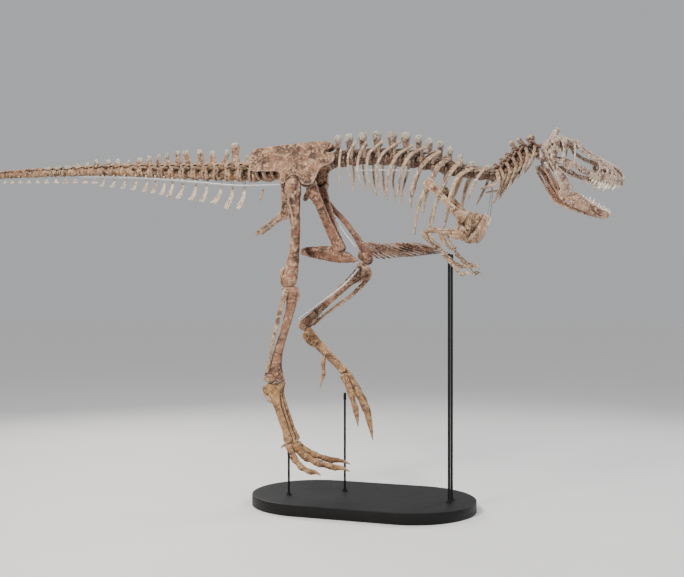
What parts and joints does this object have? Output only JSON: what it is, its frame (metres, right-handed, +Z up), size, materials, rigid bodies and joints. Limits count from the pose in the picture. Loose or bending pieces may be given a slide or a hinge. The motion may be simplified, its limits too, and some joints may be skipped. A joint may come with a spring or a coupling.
{
  "type": "mounted dinosaur skeleton",
  "caption": "Life-size tyrannosaurid skeleton in a running pose, jaws open, on a low oval base, held by thin steel rods.",
  "frame": {"origin": "centre of the base's underside, on the floor", "axes": "+X along the animal from tail to head, +Y its left side, +Z up"},
  "size_m": [6.3752, 1.06, 3.0142],
  "materials": {
    "bone_brown": "fossil bone, brown mottled with cream, dull sheen",
    "bone_dark": "fossil bone, dark red-brown",
    "bone_pale": "fossil bone, pale pinkish cream with grey stains",
    "bone_tan": "fossil bone, golden tan with dark cracks",
    "stand_black": "black satin paint",
    "stand_steel": "dark grey steel rod"
  },
  "bodies": {
    "root": {"femur_left": "bone_tan", "femur_right": "bone_tan", "fibula_left": "bone_tan", "fibula_right": "bone_tan", "furcula": "bone_pale", "gastralia": "bone_dark", "hallux_left": "bone_tan", "hallux_right": "bone_tan", "hand_left": "bone_brown", "hand_right": "bone_brown", "humerus_left": "bone_brown", "humerus_right": "bone_brown", "ilium_left": "bone_brown", "ilium_right": "bone_brown", "ischium": "bone_brown", "lower_jaw": "bone_pale", "metatarsus_left": "bone_tan", "metatarsus_right": "bone_tan", "neck": "bone_dark", "pubis": "bone_dark", "radius_left": "bone_brown", "radius_right": "bone_brown", "sacrum": "bone_brown", "scapula_left": "bone_brown", "scapula_right": "bone_brown", "skull": "bone_pale", "stand_base": "stand_black", "stand_chest_rod_1": "stand_black", "stand_chest_rod_2": "stand_black", "stand_foot_rod_left": "stand_black", "stand_foot_rod_right": "stand_black", "stand_shin_rod_left": "stand_steel", "stand_tail_rod": "stand_steel", "stand_thigh_rod_left": "stand_steel", "tail_1": "bone_brown", "tail_2": "bone_brown", "tail_3": "bone_brown", "tail_4": "bone_brown", "tibia_left": "bone_tan", "tibia_right": "bone_tan", "toe_2_left": "bone_tan", "toe_2_right": "bone_tan", "toe_3_left": "bone_tan", "toe_3_right": "bone_tan", "toe_4_left": "bone_tan", "toe_4_right": "bone_tan", "trunk_left": "bone_brown", "trunk_right": "bone_brown", "ulna_left": "bone_brown", "ulna_right": "bone_brown"}
  },
  "joints": []
}
